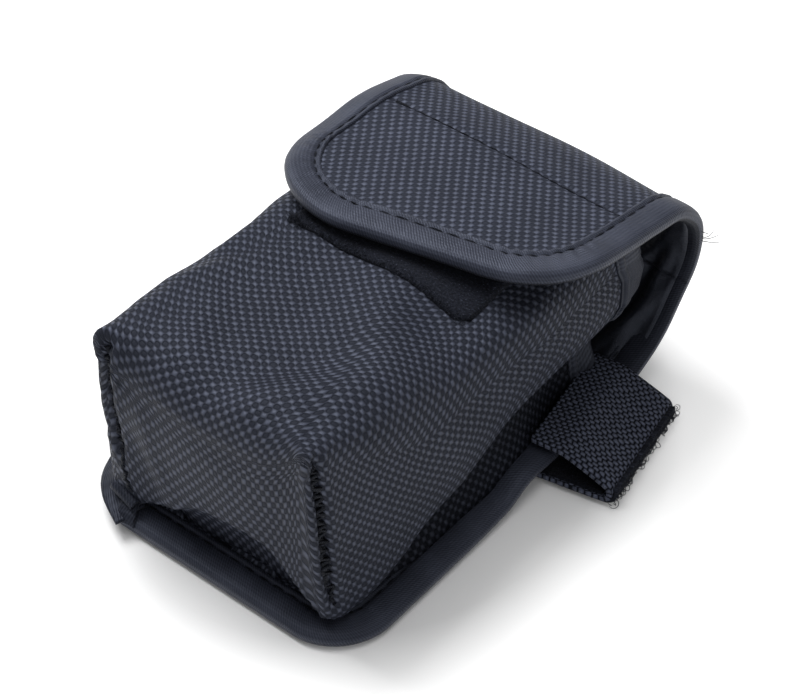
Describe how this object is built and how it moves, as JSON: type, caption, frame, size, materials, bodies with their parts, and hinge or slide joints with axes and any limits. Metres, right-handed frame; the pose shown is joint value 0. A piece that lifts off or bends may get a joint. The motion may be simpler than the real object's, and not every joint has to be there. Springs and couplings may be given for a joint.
{
  "type": "lipo safe bag",
  "caption": "Small soft battery pouch of coarse nylon with bound edges, a wrap-over flap closed by touch tape, a smooth lining and a folded webbing strap loop at one side",
  "frame": {"origin": "On the flat underside of the back panel, mid-width and about half way along the pocket, at the plane the pouch lies on", "axes": "+Z out of the front of the pouch, up when it lies on its back; +Y along the pouch from its closed bottom end to the fold of the flap; +X to the side with the webbing strap"},
  "size_m": [0.0764, 0.1017, 0.0483],
  "materials": {
    "ballistic_nylon": "coarse woven, slight sheen",
    "lining_cloth": "smooth dull taffeta",
    "binding_tape": "satin twill",
    "loop_tape": "short napped pile",
    "hook_tape": "fine stiff hooks",
    "webbing": "coarse woven webbing"
  },
  "bodies": {
    "pouch": {"back_panel": "ballistic_nylon", "back_lining": "lining_cloth", "back_binding": "binding_tape", "tape_knot": "binding_tape", "pocket_shell": "ballistic_nylon", "pocket_lining": "lining_cloth", "mouth_binding": "binding_tape", "front_loop_patch": "loop_tape", "strap_upper": "webbing"},
    "riser": {"riser_panel": "ballistic_nylon", "riser_lining": "lining_cloth", "riser_binding_left": "binding_tape", "riser_binding_right": "binding_tape"},
    "flap": {"flap_panel": "ballistic_nylon", "flap_lining": "lining_cloth", "flap_binding": "binding_tape", "flap_hook_patch": "hook_tape"},
    "strap_end": {"strap_lower": "webbing", "strap_loop_tape": "loop_tape", "strap_hook_tab": "hook_tape"}
  },
  "joints": [
    {"name": "riser_hinge", "type": "hinge", "parent": "pouch", "child": "riser", "pos_m": [0, 0.04263, 0.00629], "axis": [-1, 0, 0], "range_deg": [0, 60]},
    {"name": "flap_hinge", "type": "hinge", "parent": "riser", "child": "flap", "pos_m": [0, 0.05392, 0.03808], "axis": [-1, 0, 0], "range_deg": [0, 115]},
    {"name": "strap_hinge", "type": "hinge", "parent": "pouch", "child": "strap_end", "pos_m": [0.0428, 0.0276, 0.00265], "axis": [0.165, -0.9863, 0], "range_deg": [0, 150]}
  ]
}
